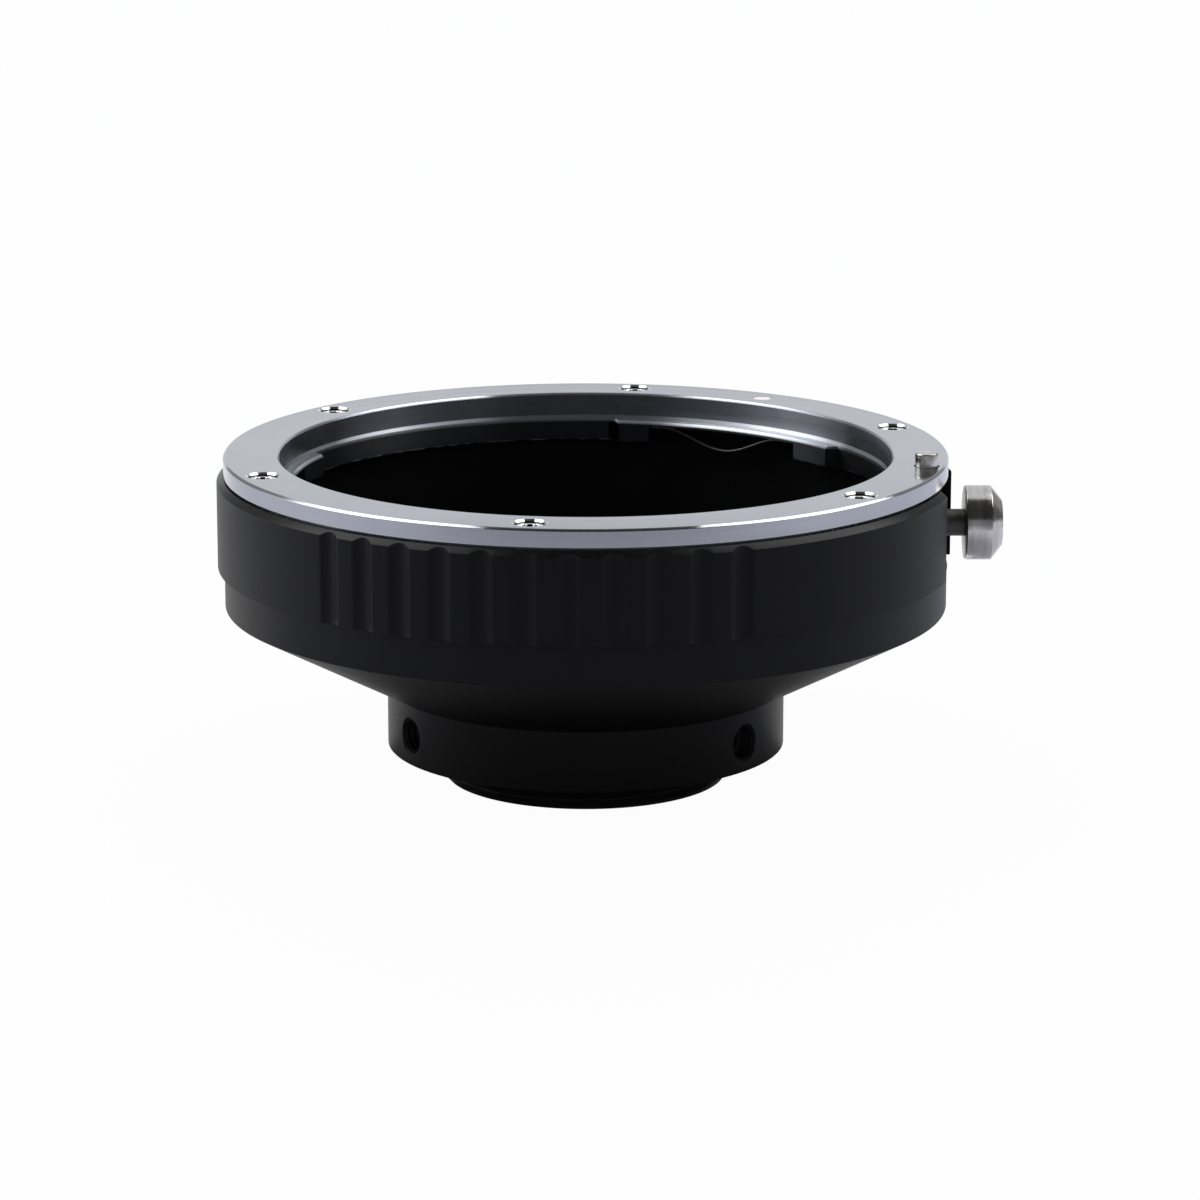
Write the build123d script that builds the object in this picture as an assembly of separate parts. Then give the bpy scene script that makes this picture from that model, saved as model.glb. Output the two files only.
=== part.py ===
from build123d import *
from math import asin, cos, degrees, pi, radians, sin
import os

# Lens mount adapter: a three-tab bayonet lens on a camera with a 1 inch screw mount.
# Lengths are in millimetres and angles in degrees, measured from +X, where the knob is.
# The origin lies on the optical axis in the plane of the camera-side shoulder, with +Z towards the lens.

# Distances from each mounting face to the image plane, which set the adapter's height
lens_register = 44.0
camera_register = 17.526

# Threaded camera-side ring, clamped in the collar
nose_radius = 12.7
nose_length = 3.0
nose_chamfer = 0.25
nose_wall = 1.5
shoulder_width = 2.3
insert_length = 7.0
insert_clearance = 0.05

# Body: fluted barrel, plain band, cone and collar
barrel_overhang = 0.6
barrel_length = 8.1
barrel_chamfer = 0.5
band_step = 0.6
band_length = 3.57
collar_wall = 2.75
collar_length = 5.4
cone_wall = 2.5
floor_thickness = 1.5
floor_lip = 1.8

# Grip flutes, in groups centred on every second flange screw
flute_width = 1.9
flute_depth = 0.35
flute_pitch = 6.47
flutes_per_group = 11
flute_groups = 3

# Bayonet ring, whose throat sets the radii of the ring and the barrel
throat_radius = 27.14
throat_chamfer = 0.2
throat_depth = 2.08
flange_width = 4.96
ring_chamfer = 0.2
flange_thickness = 1.8
shadow_gap_height = 0.2
shadow_gap_depth = 0.35
ledge_width = 0.14
ledge_height = 0.32
sleeve_wall = 1.06
sleeve_depth = 4.45
sleeve_clearance = 0.05

# Bayonet tabs
tab_reach = 1.19
tab_drop = 0.05
tab_bottom_gap = 0.07
tab_chamfer = 0.25
tab_end_taper = 1.0
tab_start_block = 5.8
tab_end_block = 4.0
tab_lip = 0.45
tab_spans = [(30.0, 85.3), (154.5, 206.0), (272.5, 323.5)]

# Leaf springs under the tabs
leaf_thickness = 0.2
leaf_bow = 1.75
leaf_foot = 0.9
leaf_start_gap = 1.2
leaf_end_gap = 0.2
leaf_side_gap = 0.3
leaf_points = 9

# Flange screws
screw_count = 6
screw_inset = 2.2
screw_first_angle = 21.1
screw_head_radius = 1.5
screw_sink = 0.17
screw_shank_radius = 0.8
screw_length = 5.2
screw_hole_clearance = 0.1
screw_thread_clearance = 0.02
cross_span = 1.4
cross_width = 0.38
cross_depth = 0.5

# Index dot
dot_angle = 56.0
dot_inset = 2.5
dot_radius = 0.9
dot_depth = 0.3
dot_clearance = 0.02

# Lens lock: pin, slider, knob and coil spring
pin_angle = -12.5
pin_inset = 1.6
pin_radius = 1.03
pin_height = 1.2
pin_edge_break = 0.12
pin_clearance = 0.1
pin_tail_radius = 0.7
pin_tail_length = 2.5
lock_travel = 1.5
slider_inset = 1.85
slider_width = 2.2
slider_end = 2.0
slider_clearance = 0.2
slider_top_gap = 0.1
knob_depth = 6.5
knob_standoff = 0.98
knob_radius = 3.31
knob_length = 2.31
knob_nose_length = 1.0
knob_nose_radius = 2.05
stem_radius = 1.2
stem_reach = 0.55
stem_hole_clearance = 0.03
coil_radius = 0.62
coil_wire = 0.2
coil_turns = 3.5
coil_bore_clearance = 0.12
coil_bore_depth = 2.9

# Set screws in the collar
set_screw_angles = [-150.5, -38.2, 86.3]
set_screw_height = 2.574
set_screw_radius = 1.5
set_screw_sink = 1.35
set_screw_socket_width = 1.5
set_screw_socket_depth = 0.8
set_screw_clearance = 0.03

# Extra length that carries a cut clear of the surface it opens
overcut = 1.0

# Heights that follow from the sizes above
shoulder_z = 0.0
nose_end_z = shoulder_z - nose_length
flange_z = shoulder_z + lens_register - camera_register
body_top_z = flange_z - flange_thickness
barrel_bottom_z = body_top_z - barrel_length
band_bottom_z = barrel_bottom_z - band_length
cone_bottom_z = shoulder_z + collar_length
insert_top_z = shoulder_z + insert_length
floor_z = insert_top_z + floor_thickness
sleeve_bottom_z = flange_z - sleeve_depth
tab_top_z = flange_z - throat_depth - ledge_height - tab_drop
tab_bottom_z = sleeve_bottom_z + tab_bottom_gap
lip_bottom_z = tab_top_z - tab_lip
knob_z = flange_z - knob_depth
slider_top_z = body_top_z - slider_top_gap
pocket_floor_z = barrel_bottom_z
slider_bottom_z = pocket_floor_z + lock_travel + slider_top_gap
coil_top_z = slider_bottom_z + coil_bore_depth
set_screw_z = shoulder_z + set_screw_height

# Radii and angles that follow from the sizes above
ring_radius = throat_radius + flange_width
land_radius = throat_radius - ledge_width
sleeve_radius = throat_radius + sleeve_wall
tab_radius = throat_radius - tab_reach
barrel_radius = ring_radius + barrel_overhang
band_radius = barrel_radius - band_step
insert_radius = nose_radius + shoulder_width
insert_bore_radius = nose_radius - nose_wall
insert_hole_radius = insert_radius + insert_clearance
floor_hole_radius = insert_radius - floor_lip
collar_radius = insert_radius + collar_wall
set_hole_radius = set_screw_radius + set_screw_clearance
screw_circle_radius = ring_radius - screw_inset
dot_circle_radius = ring_radius - dot_inset
pin_circle_radius = ring_radius - pin_inset
lock_angle = pin_angle / 2
slider_circle_radius = ring_radius - slider_inset
slider_length = 2 * (slider_circle_radius * sin(radians(abs(lock_angle))) + slider_end)
stem_end_radius = slider_circle_radius - stem_reach
knob_start_radius = barrel_radius + knob_standoff


def turned(*corners):
    """Solid of revolution about Z from (radius, height) corners."""
    outline = Polyline([(radius, 0, z) for radius, z in corners], close=True)
    return revolve(make_face(outline), Axis.Z)


def sector(inner, outer, bottom, top, start, end):
    """Part of a square-edged ring between two angles."""
    corners = [(inner, 0, bottom), (outer, 0, bottom), (outer, 0, top), (inner, 0, top)]
    section = make_face(Polyline(corners, close=True))
    return Rot(0, 0, start) * revolve(section, Axis.Z, end - start)


def at(radius, angle, z):
    """Place at a radius and an angle, with local X pointing outward."""
    return Rot(0, 0, angle) * Pos(radius, 0, z)


def upright(radius, bottom, top):
    """Cylinder along Z between two heights, about the local origin."""
    return Pos(0, 0, bottom) * Cylinder(radius, top - bottom, align=(Align.CENTER, Align.CENTER, Align.MIN))


def outward(radius, start, end, z, angle):
    """Cylinder that points away from the axis between two radii."""
    rod = Cylinder(radius, end - start, align=(Align.CENTER, Align.CENTER, Align.MIN))
    return at(start, angle, z) * Rot(0, 90, 0) * rod


def screw_angles():
    return [screw_first_angle + index * 360 / screw_count for index in range(screw_count)]


def flute_angles():
    """Angles of all grip flutes, group by group."""
    middle = (flutes_per_group - 1) / 2
    groups = [screw_first_angle + group * 360 / flute_groups for group in range(flute_groups)]
    return [group + (index - middle) * flute_pitch for group in groups for index in range(flutes_per_group)]


def rounded_bar(length, width, bottom, top):
    """Upright bar with round ends that lies across the local X axis."""
    outline = Rot(0, 0, 90) * SlotOverall(length, width)
    return Pos(0, 0, bottom) * extrude(outline, top - bottom)


def make_body():
    cone_slope = (band_bottom_z - cone_bottom_z) / (band_radius - collar_radius)
    cavity_radius = sleeve_radius + sleeve_clearance
    cavity_corner_z = band_bottom_z - (band_radius - cavity_radius) * cone_slope + cone_wall
    floor_edge_radius = cavity_radius - (cavity_corner_z - floor_z) / cone_slope
    body = turned(
        (cavity_radius, body_top_z),
        (cavity_radius, cavity_corner_z),
        (floor_edge_radius, floor_z),
        (floor_hole_radius, floor_z),
        (floor_hole_radius, insert_top_z),
        (insert_hole_radius, insert_top_z),
        (insert_hole_radius, shoulder_z),
        (collar_radius, shoulder_z),
        (collar_radius, cone_bottom_z),
        (band_radius, band_bottom_z),
        (band_radius, barrel_bottom_z),
        (barrel_radius, barrel_bottom_z),
        (barrel_radius, body_top_z - barrel_chamfer),
        (barrel_radius - barrel_chamfer, body_top_z),
    )
    body -= [flute(angle) for angle in flute_angles()]
    body -= [screw_hole(angle) for angle in screw_angles()]
    body -= [set_screw_hole(angle) for angle in set_screw_angles]
    return body - lock_pocket()


def flute(angle):
    """Round-bottomed groove that runs out through the barrel's two edges."""
    cutter_radius = (flute_width**2 / 4 + flute_depth**2) / (2 * flute_depth)
    cutter = upright(cutter_radius, barrel_bottom_z, body_top_z + overcut)
    return at(barrel_radius - flute_depth + cutter_radius, angle, 0) * cutter


def screw_hole(angle):
    """Tapped hole under a flange screw, a little deeper than the screw."""
    hole_radius = screw_shank_radius + screw_thread_clearance
    hole = upright(hole_radius, flange_z - screw_length - overcut, body_top_z + overcut)
    return at(screw_circle_radius, angle, 0) * hole


def set_screw_hole(angle):
    """Tapped hole through the collar wall."""
    return outward(set_hole_radius, insert_radius - overcut, collar_radius + overcut, set_screw_z, angle)


def lock_pocket():
    """Pocket that guides the slider, open at the body's top face and, for the knob's stem, to the outside."""
    length = slider_length + 2 * slider_clearance
    width = slider_width + 2 * slider_clearance
    top_z = body_top_z + overcut
    pocket = rounded_bar(length, width, pocket_floor_z, top_z)
    mouth_depth = barrel_radius - slider_circle_radius + overcut
    mouth = Box(mouth_depth, length, top_z - pocket_floor_z, align=(Align.MIN, Align.CENTER, Align.MIN))
    return at(slider_circle_radius, lock_angle, 0) * (pocket + Pos(0, 0, pocket_floor_z) * mouth)


def make_bayonet_ring():
    ring = turned(
        (throat_radius + throat_chamfer, flange_z),
        (throat_radius, flange_z - throat_chamfer),
        (throat_radius, flange_z - throat_depth),
        (land_radius, flange_z - throat_depth - ledge_height),
        (land_radius, sleeve_bottom_z),
        (sleeve_radius, sleeve_bottom_z),
        (sleeve_radius, body_top_z),
        (ring_radius - shadow_gap_depth, body_top_z),
        (ring_radius - shadow_gap_depth, body_top_z + shadow_gap_height),
        (ring_radius, body_top_z + shadow_gap_height),
        (ring_radius, flange_z - ring_chamfer),
        (ring_radius - ring_chamfer, flange_z),
    )
    ring += [tab(start, end) for start, end in tab_spans]
    ring -= [relief(start, end) for start, end in tab_spans]
    ring -= [countersink(angle) for angle in screw_angles()]
    dot_pit = upright(dot_radius, flange_z - dot_depth, flange_z + overcut)
    ring -= at(dot_circle_radius, dot_angle, 0) * dot_pit
    pin_hole = upright(pin_radius + pin_clearance, body_top_z - overcut, flange_z + overcut)
    return ring - at(pin_circle_radius, pin_angle, 0) * pin_hole


def tab(start, end):
    """Bayonet tab as a full-height block with slanted ends and a broken inner edge."""
    root_radius = (land_radius + sleeve_radius) / 2
    taper = degrees(asin(tab_end_taper / tab_radius))
    inner_arc = CenterArc((0, 0), tab_radius, start + taper, end - start - 2 * taper)
    outer_arc = CenterArc((0, 0), root_radius, start, end - start)
    ends = [Line(inner_arc @ 0, outer_arc @ 0), Line(inner_arc @ 1, outer_arc @ 1)]
    outline = make_face([inner_arc, outer_arc] + ends)
    prism = Pos(0, 0, tab_bottom_z) * extrude(outline, tab_top_z - tab_bottom_z, dir=(0, 0, 1))
    edge_cone = turned(
        (tab_radius - overcut, tab_top_z - tab_chamfer - overcut),
        (tab_radius + tab_chamfer, tab_top_z),
        (tab_radius - overcut, tab_top_z),
    )
    return prism - edge_cone


def relief(start, end):
    """Window under the middle of a tab that leaves a thin lip, with room for the leaf spring."""
    relief_start, relief_end = relief_span(start, end)
    inner_radius = tab_radius - overcut
    outer_radius = sleeve_radius + overcut
    bottom_z = sleeve_bottom_z - overcut
    return sector(inner_radius, outer_radius, bottom_z, lip_bottom_z, relief_start, relief_end)


def relief_span(start, end):
    """Angles between a tab's two end blocks."""
    return start + degrees(tab_start_block / land_radius), end - degrees(tab_end_block / land_radius)


def countersink(angle):
    """Through hole with a cone for the screw's flat head."""
    head_depth = screw_head_radius - screw_shank_radius
    hole = upright(screw_shank_radius + screw_hole_clearance, body_top_z - overcut, flange_z + overcut)
    cone = Pos(0, 0, flange_z - head_depth / 2) * Cone(screw_shank_radius, screw_head_radius, head_depth)
    return at(screw_circle_radius, angle, 0) * (hole + cone)


def make_leaf_spring(start, end):
    """Bowed strip whose feet lie under a tab's lip, between the tab's blocks."""
    relief_start, relief_end = relief_span(start, end)
    inner_radius = tab_radius + leaf_side_gap
    outer_radius = land_radius - leaf_side_gap
    leaf_start = relief_start + degrees(leaf_start_gap / inner_radius)
    leaf_end = relief_end - degrees(leaf_end_gap / inner_radius)
    half_length = radians(leaf_end - leaf_start) / 2 * inner_radius
    half_bow = half_length - leaf_foot
    foot_z = lip_bottom_z - leaf_thickness
    steps = [-half_bow + 2 * half_bow * index / (leaf_points - 1) for index in range(leaf_points)]
    curve = [(0, t, foot_z - leaf_bow * (1 + cos(pi * t / half_bow)) / 2) for t in steps]
    lower = Spline(curve, tangents=[(0, 1, 0), (0, 1, 0)])
    upper = Pos(0, 0, leaf_thickness) * lower
    left_foot = Polyline([upper @ 0, (0, -half_length, lip_bottom_z), (0, -half_length, foot_z), lower @ 0])
    right_foot = Polyline([upper @ 1, (0, half_length, lip_bottom_z), (0, half_length, foot_z), lower @ 1])
    section = make_face([lower, upper, left_foot, right_foot])
    strip = extrude(section, sleeve_radius, dir=(1, 0, 0))
    leaf_ring = turned(
        (inner_radius, lip_bottom_z),
        (outer_radius, lip_bottom_z),
        (outer_radius, foot_z - 2 * leaf_bow),
        (inner_radius, foot_z - 2 * leaf_bow),
    )
    return Rot(0, 0, (leaf_start + leaf_end) / 2) * (strip & leaf_ring)


def make_flange_screw(angle):
    """Countersunk screw with a cross recess, its head a little below the flange."""
    head_depth = screw_head_radius - screw_shank_radius
    head_top_z = flange_z - screw_sink
    screw = turned(
        (0, head_top_z),
        (screw_head_radius - screw_sink, head_top_z),
        (screw_shank_radius, flange_z - head_depth),
        (screw_shank_radius, flange_z - screw_length),
        (0, flange_z - screw_length),
    )
    slot = Pos(0, 0, head_top_z) * Box(cross_span, cross_width, 2 * cross_depth)
    return at(screw_circle_radius, angle, 0) * (screw - slot - Rot(0, 0, 90) * slot)


def make_index_dot():
    dot = upright(dot_radius - dot_clearance, flange_z - dot_depth, flange_z)
    return at(dot_circle_radius, dot_angle, 0) * dot


def make_lock_slider():
    """Bar with round ends that carries the pin and the knob, hollow over the coil spring."""
    bar = rounded_bar(slider_length, slider_width, slider_bottom_z, slider_top_z)
    coil_bore_radius = coil_radius + coil_wire / 2 + coil_bore_clearance
    bar -= upright(coil_bore_radius, slider_bottom_z - overcut, coil_top_z)
    slider = at(slider_circle_radius, lock_angle, 0) * bar
    tail_hole = upright(pin_tail_radius, slider_top_z - pin_tail_length, slider_top_z + overcut)
    slider -= at(pin_circle_radius, pin_angle, 0) * tail_hole
    stem_hole_radius = stem_radius + stem_hole_clearance
    return slider - outward(stem_hole_radius, stem_end_radius, barrel_radius, knob_z, 0)


def make_lock_pin():
    """Stepped pin: the tail is pressed into the slider, the top stands out of the flange."""
    pin_top_z = flange_z + pin_height
    pin = turned(
        (0, pin_top_z),
        (pin_radius - pin_edge_break, pin_top_z),
        (pin_radius, pin_top_z - pin_edge_break),
        (pin_radius, slider_top_z),
        (pin_tail_radius, slider_top_z),
        (pin_tail_radius, slider_top_z - pin_tail_length),
        (0, slider_top_z - pin_tail_length),
    )
    return at(pin_circle_radius, pin_angle, 0) * pin


def make_lock_knob():
    """Turned knob with a conical front on a straight stem that screws into the slider."""
    knob_end = knob_start_radius + knob_length
    knob = turned(
        (0, stem_end_radius),
        (stem_radius, stem_end_radius),
        (stem_radius, knob_start_radius),
        (knob_radius, knob_start_radius),
        (knob_radius, knob_end),
        (knob_nose_radius, knob_end + knob_nose_length),
        (0, knob_end + knob_nose_length),
    )
    return Pos(0, 0, knob_z) * Rot(0, 90, 0) * knob


def make_lock_spring():
    """Square-wire compression spring between the pocket floor and the slider."""
    height = coil_top_z - pocket_floor_z - 2 * coil_wire
    path = Helix(height / coil_turns, height, coil_radius)
    wire = Plane(origin=path @ 0, z_dir=path % 0) * Rectangle(coil_wire, coil_wire)
    return at(slider_circle_radius, lock_angle, pocket_floor_z + coil_wire) * sweep(wire, path)


def make_c_mount_ring():
    """Threaded nose, mounting shoulder and the sleeve that the set screws clamp."""
    return turned(
        (insert_bore_radius, nose_end_z),
        (nose_radius - nose_chamfer, nose_end_z),
        (nose_radius, nose_end_z + nose_chamfer),
        (nose_radius, shoulder_z),
        (insert_radius, shoulder_z),
        (insert_radius, insert_top_z),
        (insert_bore_radius, insert_top_z),
    )


def make_set_screw(angle):
    """Headless screw with a hexagon socket, its flat tip just clear of the threaded ring."""
    outer_end = collar_radius - set_screw_sink
    screw = outward(set_screw_radius, insert_hole_radius, outer_end, set_screw_z, angle)
    hexagon = RegularPolygon(set_screw_socket_width / 2, 6, major_radius=False)
    socket = extrude(hexagon, -set_screw_socket_depth)
    return screw - at(outer_end, angle, set_screw_z) * Rot(0, 90, 0) * socket


nodes = {
    "body": make_body(),
    "bayonet_ring": make_bayonet_ring(),
    "flange_screws": Compound([make_flange_screw(angle) for angle in screw_angles()]),
    "index_dot": make_index_dot(),
    "lock_slider": make_lock_slider(),
    "lock_pin": make_lock_pin(),
    "lock_knob": make_lock_knob(),
    "lock_spring": make_lock_spring(),
    "c_mount_ring": make_c_mount_ring(),
    "set_screws": Compound([make_set_screw(angle) for angle in set_screw_angles]),
}
for number, (start, end) in enumerate(tab_spans, 1):
    nodes[f"leaf_spring_{number}"] = make_leaf_spring(start, end)

os.makedirs("parts", exist_ok=True)
for name, solid in nodes.items():
    export_step(solid, f"parts/{name}.step")
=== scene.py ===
from math import asin, cos, degrees, hypot, pi, radians, sin, sqrt, tan

import bmesh
import bpy
from mathutils import Matrix, Vector


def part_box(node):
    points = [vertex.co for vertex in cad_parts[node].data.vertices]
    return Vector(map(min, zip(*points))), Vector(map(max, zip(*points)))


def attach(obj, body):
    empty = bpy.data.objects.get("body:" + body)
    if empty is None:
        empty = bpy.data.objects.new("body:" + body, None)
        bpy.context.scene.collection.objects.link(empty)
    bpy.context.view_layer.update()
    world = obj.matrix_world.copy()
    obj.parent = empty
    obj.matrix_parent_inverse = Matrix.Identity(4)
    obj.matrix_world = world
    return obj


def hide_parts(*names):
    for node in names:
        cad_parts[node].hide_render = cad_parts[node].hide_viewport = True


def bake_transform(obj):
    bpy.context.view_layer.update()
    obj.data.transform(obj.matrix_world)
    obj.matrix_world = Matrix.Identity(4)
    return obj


# Lens mount adapter: finish and fine form of every piece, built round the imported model.
# Lengths are in millimetres, and in metres where the floor, the light and the camera are made.
# Angles are in degrees from +X, where the knob is.

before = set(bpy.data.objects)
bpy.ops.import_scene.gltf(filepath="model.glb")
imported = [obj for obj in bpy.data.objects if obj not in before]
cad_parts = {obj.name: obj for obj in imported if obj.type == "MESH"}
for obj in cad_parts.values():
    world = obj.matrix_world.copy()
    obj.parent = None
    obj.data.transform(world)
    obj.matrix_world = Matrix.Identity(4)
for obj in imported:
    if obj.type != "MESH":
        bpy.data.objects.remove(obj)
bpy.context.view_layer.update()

MM = 0.001


def reach(node):
    """Largest distance of a node's surface from the optical axis."""
    return max(hypot(v.co.x, v.co.y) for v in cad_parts[node].data.vertices) / MM


def low(node):
    """Lowest corner of a node's box."""
    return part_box(node)[0] / MM


def high(node):
    """Highest corner of a node's box."""
    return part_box(node)[1] / MM


# Main sizes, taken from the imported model
flange_z = high("bayonet_ring").z
sleeve_bottom_z = low("bayonet_ring").z
ring_radius = reach("bayonet_ring")
barrel_radius = reach("body")
body_top_z = high("body").z
shoulder_z = low("body").z
nose_end_z = low("c_mount_ring").z
insert_top_z = high("c_mount_ring").z
insert_radius = reach("c_mount_ring")
pin_top_z = high("lock_pin").z
pin_bottom_z = low("lock_pin").z
pin_centre = (low("lock_pin") + high("lock_pin")) / 2
knob_z = (low("lock_knob").z + high("lock_knob").z) / 2
knob_radius = (high("lock_knob").z - low("lock_knob").z) / 2
knob_end_x = high("lock_knob").x
stem_end_x = low("lock_knob").x
dot_centre = (low("index_dot") + high("index_dot")) / 2
dot_radius = (high("index_dot").x - low("index_dot").x) / 2
dot_bottom_z = low("index_dot").z
coil_centre = (low("lock_spring") + high("lock_spring")) / 2
coil_bottom_z = low("lock_spring").z
coil_top_z = high("lock_spring").z

# Body: fluted barrel, plain band, cone and collar
barrel_length = 8.1
barrel_chamfer = 0.5
band_radius = barrel_radius - 0.6
band_length = 3.57
collar_radius = insert_radius + 2.75
collar_length = 5.4
cone_wall = 2.5
floor_thickness = 1.5
floor_hole_radius = insert_radius - 1.8
insert_hole_radius = insert_radius + 0.05
flute_width = 1.9
flute_depth = 0.35
flute_edge = 0.025
flute_pitch = 6.47
flutes_per_group = 11
flute_groups = 3

# Bayonet ring and its tabs
throat_radius = ring_radius - 4.96
throat_chamfer = 0.2
ledge_z = flange_z - 2.08
ledge_height = 0.32
land_radius = throat_radius - 0.14
sleeve_radius = throat_radius + 1.06
cavity_radius = sleeve_radius + 0.05
ring_chamfer = 0.2
shadow_gap_height = 0.2
shadow_gap_depth = 0.55
tab_radius = throat_radius - 1.19
tab_top_z = ledge_z - ledge_height - 0.05
tab_bottom_z = sleeve_bottom_z + 0.07
tab_chamfer = 0.25
tab_end_taper = 1.0
tab_start_block = 5.8
tab_end_block = 4.0
lip_bottom_z = tab_top_z - 0.45
tab_spans = [(30.0, 85.3), (154.5, 206.0), (272.5, 323.5)]
tab_root_radius = (land_radius + sleeve_radius) / 2

# Leaf springs
leaf_thickness = 0.2
leaf_bow = 1.75
leaf_foot = 0.9
leaf_start_gap = 1.2
leaf_end_gap = 0.2
leaf_side_gap = 0.3

# Flange screws
screw_count = 6
screw_first_angle = 21.1
screw_circle_radius = ring_radius - 2.2
screw_well_radius = 1.5
screw_sink = 0.24
# Depth below the flange to which each screw well has painted highlight; below it the well has painted shade
painted_well_highlight_depth = 0.165
screw_head_gap = 0.04
screw_shank_radius = 0.8
screw_hole_radius = screw_shank_radius + 0.1
screw_bore_radius = 0.82
screw_length = 5.2
cross_span = 1.25
cross_width = 0.45
cross_depth = 0.6
cross_mouth_height = 0.15
cross_mouth_share = 1.12
cross_foot_share = 0.5
cross_width_taper = 0.25
cross_core_radius = 0.44
cross_tip_radius = 0.1
cross_core_height = 0.1
cross_turns = [12, 84, 8, 80, 5, 87]

# Index dot
dot_pit_radius = dot_radius + 0.02
dot_rim_sink = 0.06
dot_dome_height = 0.05
dot_dome_share = 0.98

# Lens lock
pin_radius = 1.03
pin_hole_radius = pin_radius + 0.1
pin_tail_radius = 0.7
pin_tail_length = 2.5
knob_length = 2.31
knob_nose_length = 1.0
knob_nose_radius = 2.05
knob_start_x = knob_end_x - knob_nose_length - knob_length
stem_radius = 1.2
coil_radius = 0.62
coil_wire = 0.2
coil_turns = 3.5
pocket_radius = ring_radius - 1.85
pocket_angle = -6.25
pocket_length = 10.98
pocket_width = 2.6
pocket_floor_z = body_top_z - barrel_length

# Camera-side thread and the set screws in the collar
nose_radius = insert_radius - 2.3
nose_bore_radius = nose_radius - 1.5
nose_chamfer = 0.25
insert_chamfer = 0.15
thread_pitch = 25.4 / 32
thread_depth = 0.38
thread_relief = 0.25
thread_fade = 0.3
thread_steepness = 1.25
set_screw_angles = [-150.5, -38.2, 86.3]
set_screw_z = shoulder_z + 2.574
set_hole_radius = 1.53
set_thread_pitch = 0.5
set_thread_depth = 0.2
set_mouth_depth = 0.22
set_mouth_width = 0.3
set_mouth_lift = 0.08

# Edge rounds
crisp_edge = 0.04
fine_edge = 0.05
ring_edge = 0.06
turned_edge = 0.08
eased_edge = 0.1
cone_edge = 0.12
steel_edge = 0.14
floor_fillet = 0.2
cavity_fillet = 0.3

# Fineness of the meshes
round_steps = 3
largest_setback = 0.45
sharp_angle = 38
ring_columns = 360
nose_columns = 240
knob_columns = 160
pin_columns = 96
small_columns = 64
columns_per_flute = 27
sections_per_coil_turn = 32
overcut = 1.0


# Mesh building

def round_corners(corners):
    """Outline in which each corner (x, y, radius) is a short arc."""
    points = []
    for index, (x, y, radius) in enumerate(corners):
        here = Vector((x, y))
        if radius == 0:
            points.append(here)
            continue
        back = Vector(corners[index - 1][:2]) - here
        ahead = Vector(corners[(index + 1) % len(corners)][:2]) - here
        setback = radius / tan(back.angle(ahead) / 2)
        setback = min(setback, largest_setback * back.length, largest_setback * ahead.length)
        start = here + back.normalized() * setback
        end = here + ahead.normalized() * setback
        for step in range(round_steps + 1):
            t = step / round_steps
            points.append((1 - t) ** 2 * start + 2 * t * (1 - t) * here + t**2 * end)
    return points


def strip_outline(inner, outer, bottom, top, edge):
    """Section of a flat strip or a wire with rounded edges."""
    corners = [(inner, bottom), (outer, bottom), (outer, top), (inner, top)]
    return round_corners([(radius, z, edge) for radius, z in corners])


def plug_outline(radius, bottom, top):
    """Section of a plain round plug, which cuts a straight hole."""
    return [(0, bottom), (radius, bottom), (radius, top), (0, top)]


def sweep(bm, sections, closed):
    """Adds a skin through (angle, outline) sections, whose outlines are (radius, height) points."""
    columns = []
    for angle, outline in sections:
        c, s = cos(radians(angle)), sin(radians(angle))
        columns.append([bm.verts.new((r * c, r * s, z)) for r, z in outline])
    count = len(columns)
    rows = len(columns[0])
    for j in range(count if closed else count - 1):
        here, after = columns[j], columns[(j + 1) % count]
        for i in range(rows):
            k = (i + 1) % rows
            bm.faces.new((here[i], after[i], after[k], here[k]))
    if not closed:
        bm.faces.new(columns[0])
        bm.faces.new(reversed(columns[-1]))
    return [vertex for column in columns for vertex in column]


def even_angles(count):
    return [360 * index / count for index in range(count)]


def lathe(bm, outline, columns, place=Matrix.Identity(4)):
    """Adds a solid of revolution of (radius, height) points, and moves it to its place."""
    vertices = sweep(bm, [(angle, outline) for angle in even_angles(columns)], True)
    bmesh.ops.remove_doubles(bm, verts=vertices, dist=1e-5)
    bmesh.ops.transform(bm, matrix=place, verts=[v for v in vertices if v.is_valid])


def upright(radius, angle):
    """Place at a radius and an angle, with the local Z axis up."""
    return Matrix.Rotation(radians(angle), 4, "Z") @ Matrix.Translation((radius, 0, 0))


def above(centre):
    """Place over a centre, with the local Z axis up."""
    return Matrix.Translation((centre.x, centre.y, 0))


def outward(angle, z):
    """Place on the axis whose local Z axis points away from it at an angle."""
    turn = Matrix.Rotation(radians(angle), 4, "Z") @ Matrix.Rotation(radians(90), 4, "Y")
    return Matrix.Translation((0, 0, z)) @ turn


def join_rims(bm, lower, upper, place):
    """Closes two rims of corners into a solid, and moves it to its place."""
    count = len(lower)
    bm.faces.new(reversed(lower))
    bm.faces.new(upper)
    for i in range(count):
        k = (i + 1) % count
        bm.faces.new((lower[i], lower[k], upper[k], upper[i]))
    bmesh.ops.transform(bm, matrix=place, verts=lower + upper)


def add_object(name, bm):
    """Turns a mesh in millimetres into an object in metres."""
    bmesh.ops.dissolve_degenerate(bm, edges=bm.edges, dist=1e-6)
    bmesh.ops.recalc_face_normals(bm, faces=bm.faces)
    bmesh.ops.scale(bm, vec=(MM, MM, MM), verts=bm.verts)
    mesh = bpy.data.meshes.new(name)
    bm.to_mesh(mesh)
    bm.free()
    obj = bpy.data.objects.new(name, mesh)
    bpy.context.scene.collection.objects.link(obj)
    return obj


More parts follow.
